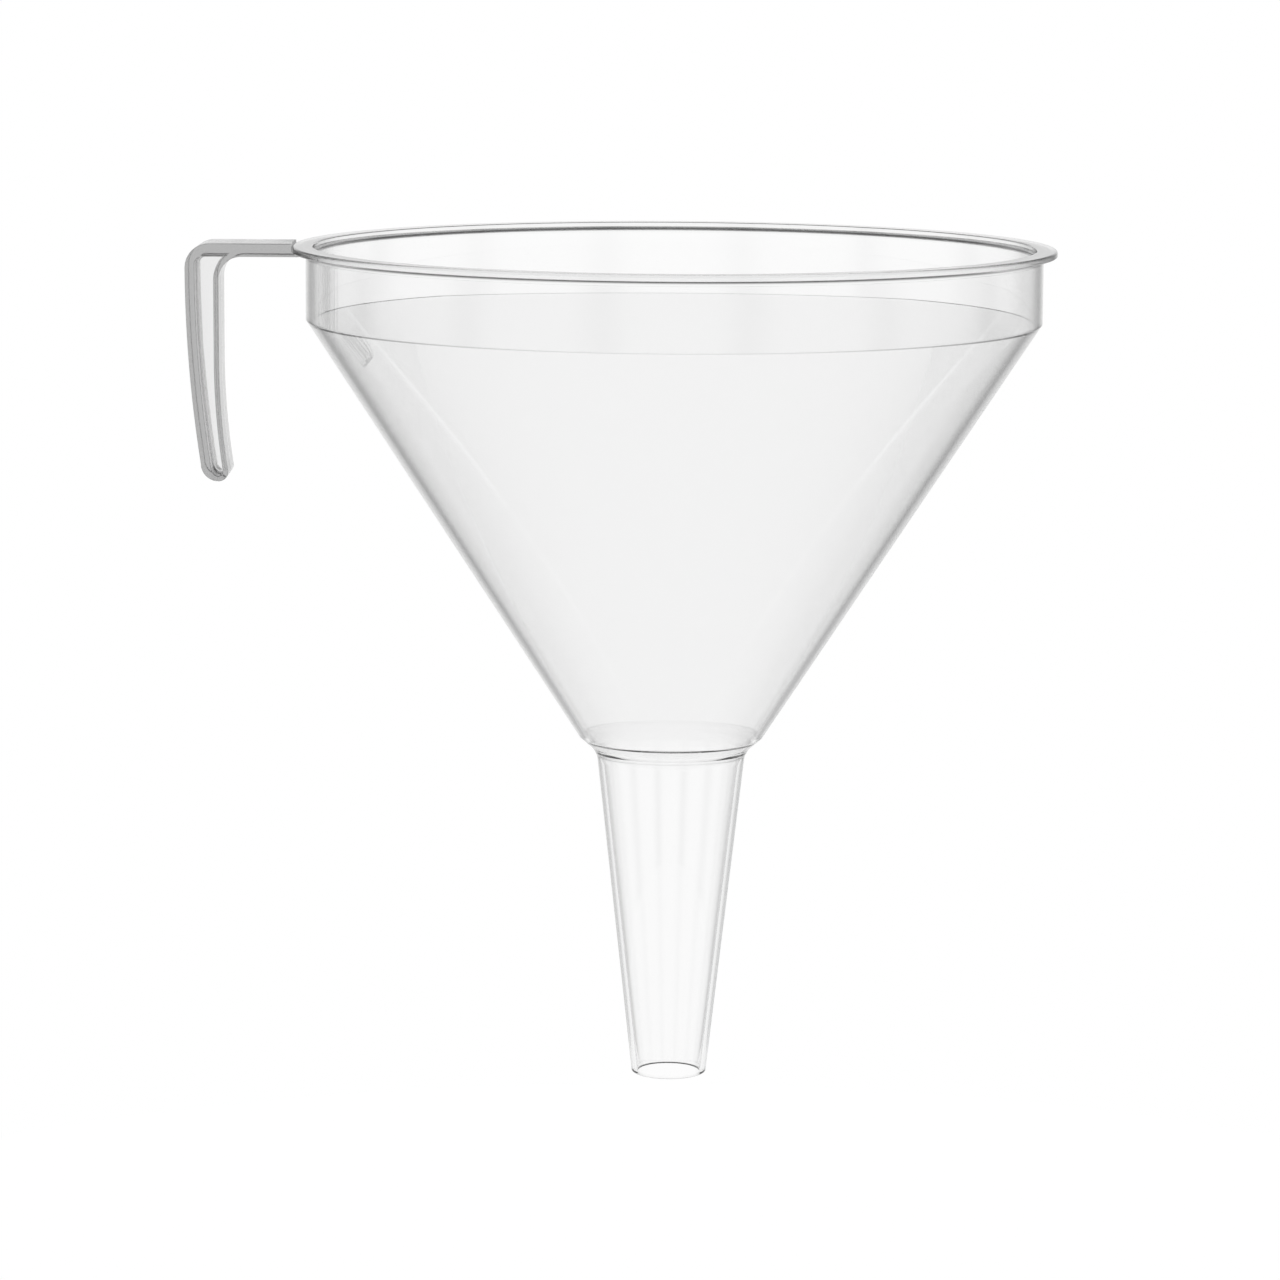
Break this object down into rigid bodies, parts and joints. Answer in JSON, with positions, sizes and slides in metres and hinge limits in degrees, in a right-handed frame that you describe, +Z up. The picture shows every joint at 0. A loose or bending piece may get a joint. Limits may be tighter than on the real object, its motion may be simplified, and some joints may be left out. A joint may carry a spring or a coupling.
{
  "type": "laboratory funnel",
  "caption": "Wide clear laboratory funnel with a flat rim, straight collar, steep cone, tapered stem and a side grip, for pouring liquids into narrow-necked vessels.",
  "frame": {"origin": "centre of the throat, on the funnel's axis, level with the outer corner where the cone turns into the stem", "axes": "+Z up along the funnel's axis from outlet to mouth; the grip reaches out along -X; +Y completes the right-handed frame"},
  "size_m": [0.2844, 0.25, 0.2776],
  "materials": {
    "clear_wall": "clear moulded plastic, polished inside and out, with faint mould flow",
    "clear_grip": "the same clear plastic in thicker ribs, so it reads greyer"
  },
  "bodies": {
    "root": {"rim_flange": "clear_wall", "collar_wall": "clear_wall", "cone_wall": "clear_wall", "throat_ring": "clear_wall", "stem_tube": "clear_wall", "outlet_tip": "clear_wall", "handle_arm": "clear_grip", "handle_grip": "clear_grip", "handle_web": "clear_grip"}
  },
  "joints": []
}
